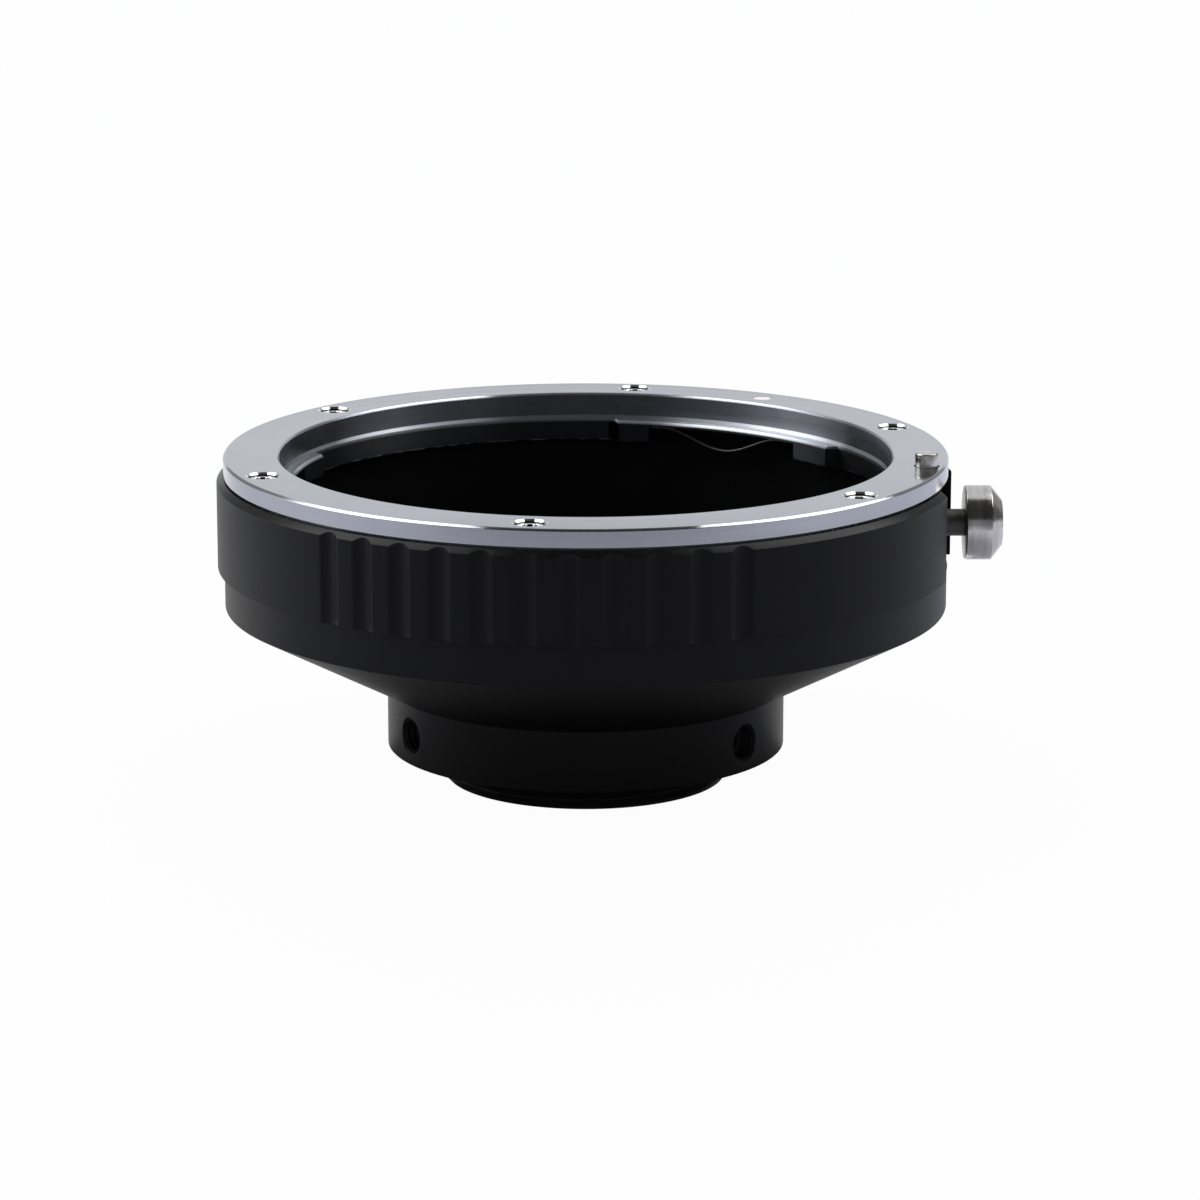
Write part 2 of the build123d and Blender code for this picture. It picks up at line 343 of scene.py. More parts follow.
def combine(target, tool, operation):
    """Boolean of two objects, kept as the target's own mesh."""
    modifier = target.modifiers.new("combine", "BOOLEAN")
    modifier.operation = operation
    modifier.object = tool
    modifier.solver = "EXACT"
    evaluated = target.evaluated_get(bpy.context.evaluated_depsgraph_get())
    mesh = bpy.data.meshes.new_from_object(evaluated)
    target.modifiers.clear()
    target.data = mesh
    bpy.data.objects.remove(tool)


def finish_piece(obj, material, body, slot, *nodes):
    """Gives a piece its shading and material, hides the nodes that it replaces, and gives it its body if it
    has one; the slot is not used.
    """
    obj.data.shade_smooth()
    obj.data.set_sharp_from_angle(angle=radians(sharp_angle))
    normals = obj.modifiers.new("normals", "WEIGHTED_NORMAL")
    normals.keep_sharp = True
    obj.data.materials.clear()
    obj.data.materials.append(material)
    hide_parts(*nodes)
    if body:
        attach(obj, body)


# Body

def screw_angles():
    return [screw_first_angle + index * 360 / screw_count for index in range(screw_count)]


def flute_angles():
    """Angles of all grip flutes, group by group."""
    middle = (flutes_per_group - 1) / 2
    groups = [screw_first_angle + group * 360 / flute_groups for group in range(flute_groups)]
    return [group + (index - middle) * flute_pitch for group in groups for index in range(flutes_per_group)]


def nearest_flute(angle):
    """Angle between a direction and the flute nearest to it."""
    return min(abs((angle - flute + 180) % 360 - 180) for flute in flute_angles())


def barrel_radius_at(angle):
    """Barrel radius in a direction: round-bottomed flutes with slightly rounded edges."""
    farthest = 10
    cutter_radius = (flute_width**2 / 4 + flute_depth**2) / (2 * flute_depth)
    across = barrel_radius * sin(radians(min(nearest_flute(angle), farthest)))
    if across > flute_width:
        return barrel_radius
    depth = sqrt(max(cutter_radius**2 - across**2, 0)) - cutter_radius + flute_depth
    return barrel_radius - (depth + sqrt(depth**2 + flute_edge**2)) / 2


def barrel_columns():
    """Directions of the body's mesh columns, the same on every flute and as close between the groups."""
    step = flute_pitch / columns_per_flute
    group_columns = flutes_per_group * columns_per_flute
    plain_span = 360 / flute_groups - flutes_per_group * flute_pitch
    plain_columns = round(plain_span / step)
    columns = []
    for group in range(flute_groups):
        first = screw_first_angle + group * 360 / flute_groups - flutes_per_group * flute_pitch / 2
        columns += [first + index * step for index in range(group_columns)]
        plain_start = first + group_columns * step
        columns += [plain_start + index * plain_span / plain_columns for index in range(plain_columns)]
    return columns


def body_outline(angle):
    """Section of the body in a direction."""
    barrel_bottom_z = body_top_z - barrel_length
    band_bottom_z = barrel_bottom_z - band_length
    cone_bottom_z = shoulder_z + collar_length
    floor_z = insert_top_z + floor_thickness
    slope = (band_bottom_z - cone_bottom_z) / (band_radius - collar_radius)
    cavity_corner_z = band_bottom_z - (band_radius - cavity_radius) * slope + cone_wall
    floor_edge_radius = cavity_radius - (cavity_corner_z - floor_z) / slope
    radius = barrel_radius_at(angle)
    chamfer_z = body_top_z - (radius - barrel_radius + barrel_chamfer)
    return round_corners([
        (cavity_radius, body_top_z, fine_edge),
        (cavity_radius, cavity_corner_z, cavity_fillet),
        (floor_edge_radius, floor_z, floor_fillet),
        (floor_hole_radius, floor_z, eased_edge),
        (floor_hole_radius, insert_top_z, 0),
        (insert_hole_radius, insert_top_z, 0),
        (insert_hole_radius, shoulder_z, fine_edge),
        (collar_radius, shoulder_z, turned_edge),
        (collar_radius, cone_bottom_z, cone_edge),
        (band_radius, band_bottom_z, cone_edge),
        (band_radius, barrel_bottom_z, crisp_edge),
        (radius, barrel_bottom_z, turned_edge),
        (radius, chamfer_z, fine_edge),
        (barrel_radius - barrel_chamfer, body_top_z, crisp_edge),
    ])


def thread_wave(turns):
    """V thread: 0 at the crest and 1 at the root, once per turn."""
    return 1 - abs(2 * (turns % 1) - 1)


def add_set_hole(bm, angle):
    """Cutter for a tapped hole through the collar wall, with a broken edge at its mouth."""
    start = insert_hole_radius - overcut
    mouth = collar_radius - set_mouth_depth
    mouth_radius = set_hole_radius + set_mouth_width
    count = int((mouth - start) / (set_thread_pitch / 4))
    outline = [(0, start)]
    for index in range(count + 1):
        along = start + (mouth - start) * index / count
        outline.append((set_hole_radius - set_thread_depth * thread_wave(along / set_thread_pitch), along))
    outline += [(set_hole_radius, mouth), (mouth_radius, collar_radius + set_mouth_lift)]
    outline += [(mouth_radius, collar_radius + overcut), (0, collar_radius + overcut)]
    lathe(bm, outline, small_columns, outward(angle, set_screw_z))


def add_bar(bm, outline, bottom, top, place):
    """Adds a prism over (x, y) points between two heights."""
    lower = [bm.verts.new((x, y, bottom)) for x, y in outline]
    upper = [bm.verts.new((x, y, top)) for x, y in outline]
    join_rims(bm, lower, upper, place)


def pocket_outline(length, width, mouth):
    """Points of a pocket along Y with two round inner corners, open towards +X."""
    steps = 12
    half = (length - width) / 2
    points = [(mouth, -length / 2), (mouth, length / 2)]
    for first, centre in ((pi / 2, half), (pi, -half)):
        for index in range(steps + 1):
            a = first + pi / 2 * index / steps
            points.append((width / 2 * cos(a), centre + width / 2 * sin(a)))
    return points


def make_body():
    bm = bmesh.new()
    sweep(bm, [(angle, body_outline(angle)) for angle in barrel_columns()], True)
    body = add_object("body_shell", bm)
    cutters = bmesh.new()
    for angle in set_screw_angles:
        add_set_hole(cutters, angle)
    hole = plug_outline(screw_bore_radius, flange_z - screw_length - overcut, flange_z)
    for angle in screw_angles():
        lathe(cutters, hole, small_columns, upright(screw_circle_radius, angle))
    pocket = pocket_outline(pocket_length, pocket_width, barrel_radius + overcut - pocket_radius)
    add_bar(cutters, pocket, pocket_floor_z, flange_z, upright(pocket_radius, pocket_angle))
    combine(body, add_object("cutter", cutters), "DIFFERENCE")
    return body


# Bayonet ring

def ring_outline():
    return round_corners([
        (throat_radius + throat_chamfer, flange_z, crisp_edge),
        (throat_radius, flange_z - throat_chamfer, crisp_edge),
        (throat_radius, ledge_z, fine_edge),
        (land_radius, ledge_z - ledge_height, fine_edge),
        (land_radius, sleeve_bottom_z, turned_edge),
        (sleeve_radius, sleeve_bottom_z, fine_edge),
        (sleeve_radius, body_top_z, 0),
        (ring_radius - shadow_gap_depth, body_top_z, 0),
        (ring_radius - shadow_gap_depth, body_top_z + shadow_gap_height, 0),
        (ring_radius, body_top_z + shadow_gap_height, fine_edge),
        (ring_radius, flange_z - ring_chamfer, ring_edge),
        (ring_radius - ring_chamfer, flange_z, ring_edge),
    ])


def tab_outline(inner):
    """Section of a tab that reaches in to a radius."""
    largest_chamfer = 0.4 * (tab_root_radius - inner)
    chamfer = min(tab_chamfer, largest_chamfer)
    return round_corners([
        (tab_root_radius, tab_top_z, 0),
        (inner + chamfer, tab_top_z, crisp_edge),
        (inner, tab_top_z - chamfer, crisp_edge),
        (inner, tab_bottom_z, fine_edge),
        (tab_root_radius, tab_bottom_z, 0),
    ])


def add_tab(bm, start, end):
    """Tab as a full-height block with slanted ends."""
    taper = degrees(asin(tab_end_taper / tab_radius))
    steps = [0.02, 0.3, 0.6, 0.9, 1.0]
    depth = tab_root_radius - tab_radius
    ramp = [(start + taper * step, tab_root_radius - depth * step) for step in steps]
    middle_count = 50
    span = end - start - 2 * taper
    middle = [(start + taper + span * i / middle_count, tab_radius) for i in range(1, middle_count)]
    fall = [(start + end - angle, inner) for angle, inner in reversed(ramp)]
    sweep(bm, [(angle, tab_outline(inner)) for angle, inner in ramp + middle + fall], False)


def relief_span(start, end):
    """Angles between a tab's two end blocks."""
    return start + degrees(tab_start_block / land_radius), end - degrees(tab_end_block / land_radius)


def add_relief(bm, start, end):
    """Cutter for the window under a tab that leaves a thin lip."""
    first, last = relief_span(start, end)
    inner = tab_radius - overcut
    outer = sleeve_radius + overcut
    bottom = sleeve_bottom_z - overcut
    outline = [(inner, bottom), (outer, bottom), (outer, lip_bottom_z), (inner, lip_bottom_z)]
    count = 40
    sweep(bm, [(first + (last - first) * i / count, outline) for i in range(count + 1)], False)


def add_countersink(bm, angle):
    """Cutter for a screw's through hole and the cone that its head is sunk in."""
    outline = [
        (0, body_top_z - overcut),
        (screw_hole_radius, body_top_z - overcut),
        (screw_hole_radius, flange_z - screw_well_radius + screw_hole_radius),
        (screw_well_radius, flange_z),
        (screw_well_radius, flange_z + overcut),
        (0, flange_z + overcut),
    ]
    lathe(bm, outline, small_columns, upright(screw_circle_radius, angle))


def make_ring():
    bm = bmesh.new()
    lathe(bm, ring_outline(), ring_columns)
    ring = add_object("bayonet_flange", bm)
    tabs = bmesh.new()
    for start, end in tab_spans:
        add_tab(tabs, start, end)
    combine(ring, add_object("tabs", tabs), "UNION")
    cutters = bmesh.new()
    for start, end in tab_spans:
        add_relief(cutters, start, end)
    for angle in screw_angles():
        add_countersink(cutters, angle)
    pin_hole = plug_outline(pin_hole_radius, body_top_z - overcut, flange_z + overcut)
    lathe(cutters, pin_hole, small_columns, above(pin_centre))
    dot_pit = plug_outline(dot_pit_radius, dot_bottom_z, flange_z + overcut)
    lathe(cutters, dot_pit, small_columns, above(dot_centre))
    combine(ring, add_object("cutter", cutters), "DIFFERENCE")
    return ring


def make_leaf(number, start, end):
    """Bowed strip whose feet lie under a tab's lip, between the tab's blocks."""
    first, last = relief_span(start, end)
    inner = tab_radius + leaf_side_gap
    outer = land_radius - leaf_side_gap
    middle_radius = (inner + outer) / 2
    first += degrees(leaf_start_gap / inner)
    last -= degrees(leaf_end_gap / inner)
    half = radians(last - first) / 2 * middle_radius
    half_bow = half - leaf_foot
    count = 60
    sections = []
    for index in range(count + 1):
        along = half * (2 * index / count - 1)
        bow = leaf_bow * (1 + cos(pi * along / half_bow)) / 2 if abs(along) < half_bow else 0
        top = lip_bottom_z - bow
        outline = strip_outline(inner, outer, top - leaf_thickness, top, fine_edge)
        sections.append(((first + last) / 2 + degrees(along / middle_radius), outline))
    bm = bmesh.new()
    sweep(bm, sections, False)
    return add_object(f"leaf_strip_{number}", bm)


# Screws, dot and lock

def add_wing(bm, place):
    """Cutter for one slot of a cross recess, narrower towards its bottom."""
    corners = ((-1, -1), (1, -1), (1, 1), (-1, 1))
    rims = []
    for share, z in ((cross_mouth_share, cross_mouth_height), (cross_foot_share, -cross_depth)):
        x = cross_span / 2 * share
        y = cross_width / 2 * (1 - cross_width_taper + cross_width_taper * share)
        rims.append([bm.verts.new((sx * x, sy * y, z)) for sx, sy in corners])
    upper, lower = rims
    join_rims(bm, lower, upper, place)


def make_screws():
    """All flange screws: flat heads with a cross recess, sunk below the flange, on plain shanks."""
    top = flange_z - screw_sink
    end = flange_z - screw_length
    head_radius = screw_well_radius - screw_sink - screw_head_gap
    outline = round_corners([
        (0, top, 0),
        (head_radius, top, fine_edge),
        (screw_shank_radius, top - head_radius + screw_shank_radius, fine_edge),
        (screw_shank_radius, end, eased_edge),
        (0, end, 0),
    ])
    core = [
        (0, -cross_depth),
        (cross_tip_radius, -cross_depth),
        (cross_core_radius, 0),
        (cross_core_radius, cross_core_height),
        (0, cross_core_height),
    ]
    bm = bmesh.new()
    slots = bmesh.new()
    wings = bmesh.new()
    cores = bmesh.new()
    for angle, turn in zip(screw_angles(), cross_turns):
        place = upright(screw_circle_radius, angle)
        lathe(bm, outline, small_columns, place)
        spin = place @ Matrix.Translation((0, 0, top)) @ Matrix.Rotation(radians(turn), 4, "Z")
        add_wing(slots, spin)
        add_wing(wings, spin @ Matrix.Rotation(radians(90), 4, "Z"))
        lathe(cores, core, small_columns, spin)
    screws = add_object("cross_screws", bm)
    for cutter in (slots, wings, cores):
        combine(screws, add_object("cutter", cutter), "DIFFERENCE")
    return screws


def make_dot():
    """Enamel filling that is domed up to the flange."""
    outline = [(0, dot_bottom_z), (dot_radius, dot_bottom_z), (dot_radius, flange_z - dot_rim_sink)]
    steps = 6
    for index in range(steps + 1):
        a = pi / 2 * index / steps
        z = flange_z - dot_dome_height + dot_dome_height * sin(a)
        outline.append((dot_radius * cos(a) * dot_dome_share, z))
    bm = bmesh.new()
    lathe(bm, outline, small_columns, above(dot_centre))
    return add_object("index_enamel", bm)


def make_pin():
    shoulder = pin_bottom_z + pin_tail_length
    outline = round_corners([
        (0, pin_top_z, 0),
        (pin_radius, pin_top_z, steel_edge),
        (pin_radius, shoulder, fine_edge),
        (pin_tail_radius, shoulder, 0),
        (pin_tail_radius, pin_bottom_z, eased_edge),
        (0, pin_bottom_z, 0),
    ])
    bm = bmesh.new()
    lathe(bm, outline, pin_columns, above(pin_centre))
    return add_object("lock_pin_turned", bm)


def make_knob():
    """Turned knob with a conical front, on its stem."""
    cone_start = knob_end_x - knob_nose_length
    outline = round_corners([
        (0, stem_end_x, 0),
        (stem_radius, stem_end_x, eased_edge),
        (stem_radius, knob_start_x, eased_edge),
        (knob_radius, knob_start_x, steel_edge),
        (knob_radius, cone_start, turned_edge),
        (knob_nose_radius, knob_end_x, cone_edge),
        (0, knob_end_x, 0),
    ])
    bm = bmesh.new()
    lathe(bm, outline, knob_columns, outward(0, knob_z))
    return add_object("lock_knob_turned", bm)


def make_coil():
    """Square-wire spring between the pocket's floor and the slider."""
    half = coil_wire / 2
    rise = coil_top_z - coil_bottom_z - coil_wire
    steps = round(coil_turns * sections_per_coil_turn)
    sections = []
    for index in range(steps + 1):
        share = index / steps
        z = coil_bottom_z + half + rise * share
        outline = strip_outline(coil_radius - half, coil_radius + half, z - half, z + half, crisp_edge)
        sections.append((360 * coil_turns * share, outline))
    bm = bmesh.new()
    sweep(bm, sections, False)
    bmesh.ops.translate(bm, vec=(coil_centre.x, coil_centre.y, 0), verts=bm.verts)
    return add_object("coil_spring", bm)


def nose_outline(angle):
    """Section of the camera-side ring in a direction, with the thread at that point of its helix."""
    thread_top = shoulder_z - thread_relief
    thread_bottom = nose_end_z + nose_chamfer
    steps = 60
    thread = []
    for index in range(steps + 1):
        z = thread_bottom + (thread_top - thread_bottom) * index / steps
        wave = thread_wave(z / thread_pitch - angle / 360)
        fade = min(1, (thread_top - z) / thread_fade)
        thread.append((nose_radius - thread_depth * min(1, thread_steepness * wave) * fade, z))
    start = [(nose_bore_radius, nose_end_z), (nose_radius - nose_chamfer, nose_end_z)]
    end = [
        (nose_radius, shoulder_z),
        (insert_radius - insert_chamfer, shoulder_z),
        (insert_radius, shoulder_z + insert_chamfer),
        (insert_radius, insert_top_z),
        (nose_bore_radius, insert_top_z),
    ]
    return start + thread + end


def make_nose():
    bm = bmesh.new()
    sweep(bm, [(angle, nose_outline(angle)) for angle in even_angles(nose_columns)], True)
    return add_object("threaded_nose", bm)


# Materials

class Finish:
    """A material and short calls that add nodes to it."""

    def __init__(self, name):
        self.material = bpy.data.materials.new(name)
        self.material.use_nodes = True
        self.tree = self.material.node_tree
        self.shader = self.tree.nodes["Principled BSDF"]

    def node(self, kind, inputs=None, **settings):
        """Adds a node, sets its options and feeds its inputs by name or number."""
        made = self.tree.nodes.new(kind)
        for key, value in settings.items():
            setattr(made, key, value)
        for key, value in (inputs or {}).items():
            self.feed(made.inputs[key], value)
        return made

    def feed(self, socket, value):
        """Links an output to a socket, or sets the socket's own value."""
        if isinstance(value, bpy.types.NodeSocket):
            self.tree.links.new(value, socket)
        else:
            socket.default_value = value

    def set(self, **values):
        """Sets or links inputs of the main shader, with _ for a space in their names."""
        for key, value in values.items():
            self.feed(self.shader.inputs[key.replace("_", " ")], value)

    def place(self):
        """Position on the piece in metres."""
        return self.node("ShaderNodeTexCoord").outputs["Object"]

    def math(self, operation, a, b=0.0):
        return self.node("ShaderNodeMath", {0: a, 1: b}, operation=operation).outputs[0]

    def length(self, vector):
        return self.node("ShaderNodeVectorMath", {0: vector}, operation="LENGTH").outputs["Value"]

    def noise(self, vector, scale, detail):
        inputs = {"Vector": vector, "Scale": scale, "Detail": detail}
        return self.node("ShaderNodeTexNoise", inputs).outputs["Fac"]

    def spread(self, value, low_in, high_in, low_out, high_out):
        """Maps a range of values to another, clamped."""
        inputs = {0: value, 1: low_in, 2: high_in, 3: low_out, 4: high_out}
        return self.node("ShaderNodeMapRange", inputs).outputs[0]

    def vary(self, noise, low_out, high_out):
        """Maps the usual range of a noise to another."""
        return self.spread(noise, 0.3, 0.7, low_out, high_out)

    def rise(self, place, first, last):
        """From 0 before the first place to 1 after the last one, in millimetres."""
        return self.spread(place, first * MM, last * MM, 0, 1)

    def fall(self, place, first, last):
        """From 1 before the first place to 0 after the last one, in millimetres."""
        return self.spread(place, first * MM, last * MM, 1, 0)

    def mix(self, share, a, b):
        made = self.node("ShaderNodeMix", data_type="RGBA")
        self.feed(made.inputs[0], share)
        self.feed(made.inputs[6], a)
        self.feed(made.inputs[7], b)
        return made.outputs[2]

    def bump(self, height, strength, distance):
        made = self.node("ShaderNodeBump", {"Height": height, "Strength": strength, "Distance": distance})
        self.set(Normal=made.outputs["Normal"])

    def round_place(self, axis="Z"):
        """Radius, place along the axis and angle on a piece turned about an axis."""
        parts = self.node("ShaderNodeSeparateXYZ", {"Vector": self.place()}).outputs
        across = [parts[name] for name in "XYZ" if name != axis]
        if axis == "X":
            across[1] = self.math("SUBTRACT", across[1], knob_z * MM)
        flat = self.node("ShaderNodeCombineXYZ", {0: across[0], 1: across[1]}).outputs[0]
        return self.length(flat), parts[axis], self.math("ARCTAN2", across[1], across[0])

    def turning(self, axis="Z"):
        """Coordinates that run across the turning marks of a piece turned about an axis."""
        radius, along, turn = self.round_place(axis)
        slow = self.math("MULTIPLY", turn, 0.0004)
        return self.node("ShaderNodeCombineXYZ", {0: radius, 1: along, 2: slow}).outputs[0]


def black_anodised():
    """Deep black satin anodised aluminium with a fine grain, smoother on the barrel's chamfer."""
    look = Finish("black_anodised")
    grain = look.noise(look.place(), 5200, 3)
    tone = look.vary(look.noise(look.place(), 90, 3), 0, 1)
    look.set(Base_Color=look.mix(tone, (0.0026, 0.0026, 0.0029, 1), (0.0034, 0.0034, 0.0037, 1)))
    look.set(Metallic=0.0, Specular_IOR_Level=0.135)
    chamfer_z = body_top_z - barrel_chamfer
    on_chamfer = look.rise(look.round_place()[1], chamfer_z - 0.05, chamfer_z)
    smoother = look.math("MULTIPLY", on_chamfer, 0.14)
    look.set(Roughness=look.math("SUBTRACT", look.vary(grain, 0.40, 0.46), smoother))
    look.bump(grain, 0.04, 0.00001)
    return look.material


def well_distance(look, radius, turn):
    """Distance from the axis of the nearest flange screw."""
    pitch = 2 * pi / screw_count
    first = radians(screw_first_angle)
    inputs = {0: turn, 1: first + pitch / 2, 2: first - pitch / 2}
    nearest = look.node("ShaderNodeMath", inputs, operation="WRAP").outputs[0]
    aside = look.math("MULTIPLY", radius, look.math("SUBTRACT", nearest, first))
    beyond = look.math("SUBTRACT", radius, screw_circle_radius * MM)
    return look.length(look.node("ShaderNodeCombineXYZ", {0: aside, 1: beyond}).outputs[0])


def painted_shade_beside_tab(look, turn):
    """Mask of painted shade: 1 on the slanted end of each tab where a lens turns in, and on the sleeve just
    beside it.
    """
    half_span = 1.1
    fade_span = 1.25
    share = 0.0
    for _, end in tab_spans:
        middle = radians((end - half_span + 180) % 360 - 180)
        away = look.math("ABSOLUTE", look.math("SUBTRACT", turn, middle))
        share = look.math("MAXIMUM", share, look.spread(away, radians(half_span), radians(fade_span), 1, 0))
    return share


def satin_chrome():
    """Satin chrome with turning marks, dull in the throat, dark in the sleeve; painted highlight on the
    ledge, the tab tops and the upper screw wells, and painted shade on the throat wall, lower in the screw
    wells and at the tab ends.
    """
    look = Finish("satin_chrome")
    radius, z, turn = look.round_place()
    in_throat = look.fall(radius, throat_radius + 0.05, throat_radius + 0.15)
    above_ledge = look.rise(z, ledge_z - 0.06, ledge_z + 0.02)
    in_sleeve = look.fall(z, tab_top_z - 0.3, tab_top_z - 0.05)
    in_well = look.fall(well_distance(look, radius, turn), screw_well_radius, screw_well_radius + 0.03)

    smudge = look.spread(look.noise(look.place(), 140, 4), 0.35, 0.75, 0, 1)
    face = look.mix(smudge, (0.43, 0.443, 0.475, 1), (0.40, 0.413, 0.445, 1))
    # Painted highlight on the ledge and the tab tops below it, and painted shade on the throat wall above the
    # ledge
    throat = look.mix(above_ledge, (0.50, 0.52, 0.56, 1), (0.235, 0.25, 0.285, 1))
    # Painted highlight on the upper part of each screw well, and painted shade lower down round the screw
    # head
    painted_highlight_end_z = flange_z - painted_well_highlight_depth
    well_painted_shade = look.fall(z, painted_highlight_end_z - 0.02, painted_highlight_end_z + 0.02)
    well = look.mix(well_painted_shade, (0.93, 0.93, 0.93, 1), (0.03, 0.03, 0.03, 1))
    face = look.mix(in_well, look.mix(in_throat, face, throat), well)

    # The sleeve is dark, with painted shade almost black at the end of each tab
    sleeve = look.mix(painted_shade_beside_tab(look, turn), (0.060, 0.062, 0.070, 1), (0.004, 0.004, 0.004, 1))
    at_edge = look.fall(z, sleeve_bottom_z + 0.05, sleeve_bottom_z + 0.12)
    patches = look.spread(look.noise(look.place(), 700, 2), 0.45, 0.6, 0, 1)
    sleeve = look.mix(look.math("MULTIPLY", at_edge, patches), sleeve, (0.55, 0.55, 0.55, 1))
    look.set(Base_Color=look.mix(in_sleeve, face, sleeve), Metallic=1.0)

    throat_dull = look.spread(above_ledge, 0, 1, 0.14, 0.13)
    sleeve_dull = look.spread(in_sleeve, 0, 1, 0, 0.15)
    dull = look.math("MULTIPLY", look.math("MAXIMUM", throat_dull, sleeve_dull), in_throat)
    satin = look.math("ADD", look.vary(look.noise(look.turning(), 900, 2), 0.12, 0.17), dull)
    look.set(Roughness=look.math("MULTIPLY", satin, look.spread(in_well, 0, 1, 1, 0.5)))
    tangent = look.node("ShaderNodeTangent", direction_type="RADIAL", axis="Z").outputs["Tangent"]
    look.set(Anisotropic=1.0, Anisotropic_Rotation=0.25, Tangent=tangent)
    look.bump(look.noise(look.turning(), 6000, 3), 0.08, 0.00002)
    return look.material


def turned_steel(name, axis):
    """Bright turned steel with fine rings; on the knob the stem is rougher and has painted shade, as it sits
    between the barrel and the knob.
    """
    look = Finish(name)
    marks = look.noise(look.turning(axis), 5200, 3)
    rings = look.vary(look.noise(look.turning(axis), 1100, 2), 0, 1)
    colour = look.mix(rings, (0.66, 0.64, 0.62, 1), (0.44, 0.425, 0.41, 1))
    roughness = look.vary(marks, 0.13, 0.24)
    if axis == "X":
        on_stem = look.fall(look.round_place(axis)[1], knob_start_x - 0.06, knob_start_x + 0.02)
        # Painted shade darkens the stem between the barrel and the knob; the added roughness is real
        colour = look.mix(on_stem, colour, (0.18, 0.18, 0.165, 1))
        roughness = look.math("ADD", roughness, look.math("MULTIPLY", on_stem, 0.4))
    look.set(Base_Color=colour, Metallic=1.0, Roughness=roughness)
    look.bump(marks, 0.4, 0.00003)
    return look.material


def bright_steel():
    """Polished steel of the flange screws, with painted shade in the cross recess."""
    look = Finish("bright_steel")
    grain = look.noise(look.place(), 5000, 3)
    head_z = flange_z - screw_sink
    # Painted shade: the steel is dark below the top of the head, which shows only inside the cross recess
    recess_painted_shade = look.fall(look.round_place()[1], head_z - 0.04, head_z - 0.015)
    bright = look.mix(grain, (0.95, 0.95, 0.94, 1), (0.90, 0.90, 0.89, 1))
    look.set(Base_Color=look.mix(recess_painted_shade, bright, (0.10, 0.10, 0.10, 1)), Metallic=1.0)
    look.set(Roughness=look.vary(grain, 0.06, 0.12))
    look.bump(grain, 0.05, 0.00002)
    return look.material


def pale_enamel():
    """Pale enamel of the index dot."""
    look = Finish("pale_enamel")
    grain = look.noise(look.place(), 2500, 3)
    look.set(Base_Color=look.mix(grain, (0.66, 0.60, 0.595, 1), (0.60, 0.54, 0.535, 1)), Roughness=0.4)
    look.bump(grain, 0.1, 0.00003)
    return look.material


def black_thread():
    """Black anodised thread with a brown cast."""
    look = Finish("black_thread")
    marks = look.noise(look.turning(), 6000, 3)
    tone = look.noise(look.place(), 300, 3)
    look.set(Base_Color=look.mix(tone, (0.0070, 0.0060, 0.0052, 1), (0.0100, 0.0086, 0.0075, 1)))
    look.set(Specular_IOR_Level=0.2, Roughness=look.vary(marks, 0.36, 0.46))
    look.bump(marks, 0.1, 0.00002)
    return look.material


def grained_metal(name, scale, first, second, metallic, smoothest, roughest):
    """Dull metal between two colours and two values of roughness, mixed by a fine grain."""
    look = Finish(name)
    grain = look.noise(look.place(), scale, 3)
    look.set(Base_Color=look.mix(grain, first, second), Metallic=metallic)
    look.set(Roughness=look.vary(grain, smoothest, roughest))
    return look.material


def spring_steel():
    """Dull spring steel with a dark temper."""
    first, second = (0.23, 0.225, 0.205, 1), (0.17, 0.165, 0.15, 1)
    return grained_metal("spring_steel", 3000, first, second, 1.0, 0.32, 0.45)


def blackened_brass():
    """Blackened brass of the slider in the barrel's pocket."""
    first, second = (0.020, 0.017, 0.013, 1), (0.032, 0.027, 0.020, 1)
    return grained_metal("blackened_brass", 2500, first, second, 0.5, 0.35, 0.48)


def blackened_steel():
    """Blackened steel of the set screws."""
    first, second = (0.010, 0.010, 0.011, 1), (0.016, 0.016, 0.017, 1)
    return grained_metal("blackened_steel", 2600, first, second, 0.3, 0.38, 0.5)


# Pieces

anodised = black_anodised()
chrome = satin_chrome()
steel_pin = turned_steel("turned_steel_pin", "Z")
steel_knob = turned_steel("turned_steel_knob", "X")
screw_finish = bright_steel()
spring_finish = spring_steel()

finish_piece(make_body(), anodised, "housing", "body_black", "body")
finish_piece(make_ring(), chrome, "housing", "ring_chrome", "bayonet_ring")
finish_piece(make_screws(), screw_finish, "housing", "screw_steel", "flange_screws")
finish_piece(make_dot(), pale_enamel(), "housing", "dot_enamel", "index_dot")
finish_piece(make_pin(), steel_pin, "lock", "lock_steel", "lock_pin")
finish_piece(make_knob(), steel_knob, "lock", "lock_steel", "lock_knob")
finish_piece(make_nose(), black_thread(), "camera_ring", "insert_black", "c_mount_ring")
for number, (start, end) in enumerate(tab_spans, 1):
    node = f"leaf_spring_{number}"
    finish_piece(make_leaf(number, start, end), spring_finish, "housing", "spring_steel", node)

# The coil spring shortens between the housing, where its foot is, and the lock, where its head is
coil = make_coil()
finish_piece(coil, spring_finish, None, "spring_steel", "lock_spring")
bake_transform(coil)

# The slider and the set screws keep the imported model's form
kept_finishes = {"lock_slider": blackened_brass(), "set_screws": blackened_steel()}
for name, finish in kept_finishes.items():
    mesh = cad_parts[name].data
    mesh.materials.clear()
    mesh.materials.append(finish)


# Floor, light and camera, with lengths in metres

ground_z = nose_end_z * MM
card_z = ground_z + 0.0005
floor_radius = 4
dome_radius = 1.6
dome_centre_y = -0.02
lamp_target = (0, 0, 0.02)
white = (1, 1, 1, 1)

# Cards that lie on the floor, by their corners
front_card = [(-1.2, -0.125), (-1.2, -1.6), (1.2, -1.6), (1.2, -0.125)]
back_card = [(-0.095, 0.005), (0.035, 0.005), (0.035, 0.6), (-0.095, 0.6)]

